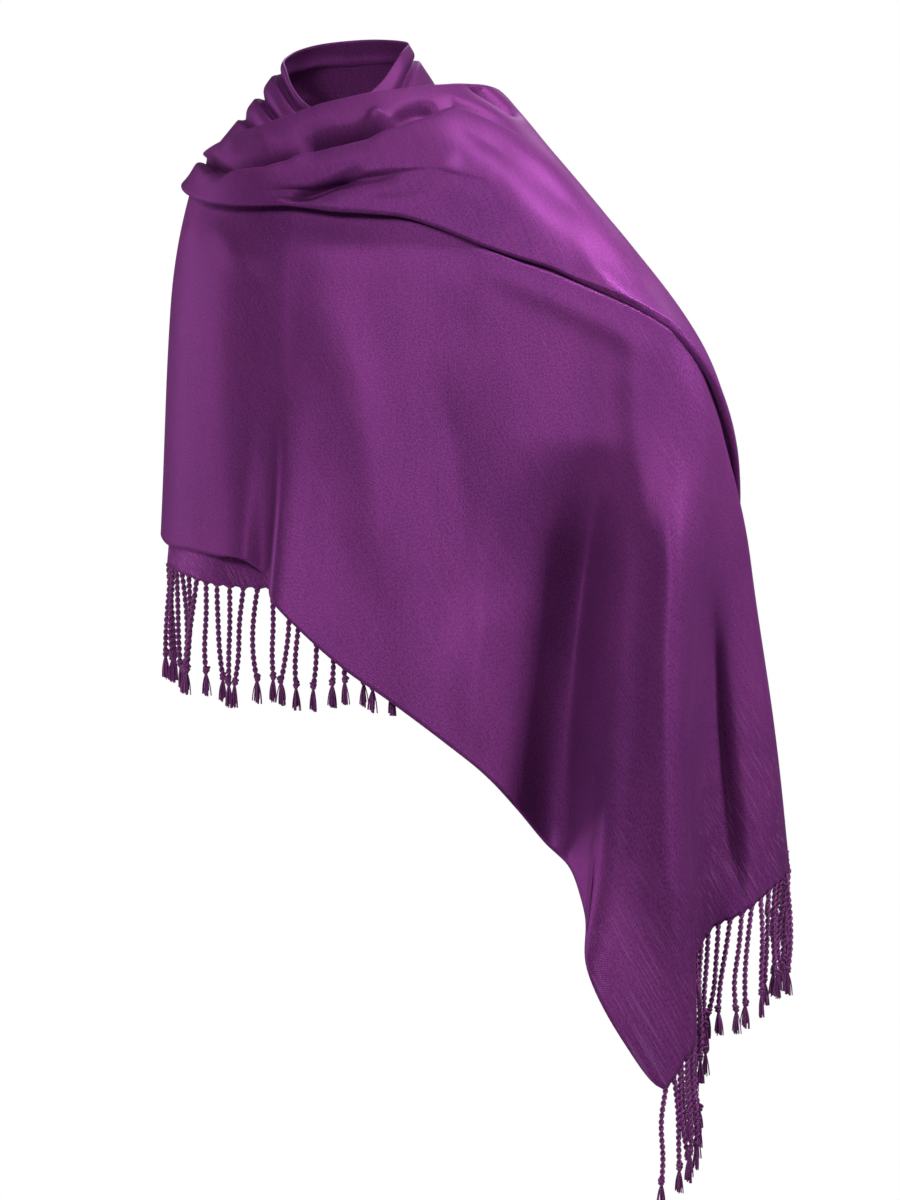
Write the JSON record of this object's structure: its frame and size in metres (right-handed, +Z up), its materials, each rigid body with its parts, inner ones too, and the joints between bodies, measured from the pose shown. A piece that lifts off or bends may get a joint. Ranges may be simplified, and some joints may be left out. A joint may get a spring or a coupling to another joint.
{
  "type": "pashmina shawl",
  "caption": "Long woven shawl wound round neck, shoulders and one raised arm, with knotted twisted fringe at both ends.",
  "frame": {"origin": "centre of the base of the neck that the shawl is wound round, where the shoulders carry it", "axes": "+Z up along the neck, +X towards the side of the raised elbow that the shawl covers, +Y behind the wearer"},
  "size_m": [0.4952, 0.3684, 0.9146],
  "materials": {
    "cloth": "smooth twill weave with a satin sheen",
    "fringe": "twisted matt yarn, knotted and frayed at the end"
  },
  "bodies": {
    "root": {"front_fall": "cloth", "shoulder_wrap": "cloth", "neck_wrap": "cloth", "back_fall": "cloth", "under_end": "cloth", "fringe_under": "fringe", "fringe_front": "fringe", "fringe_back": "fringe"}
  },
  "joints": []
}
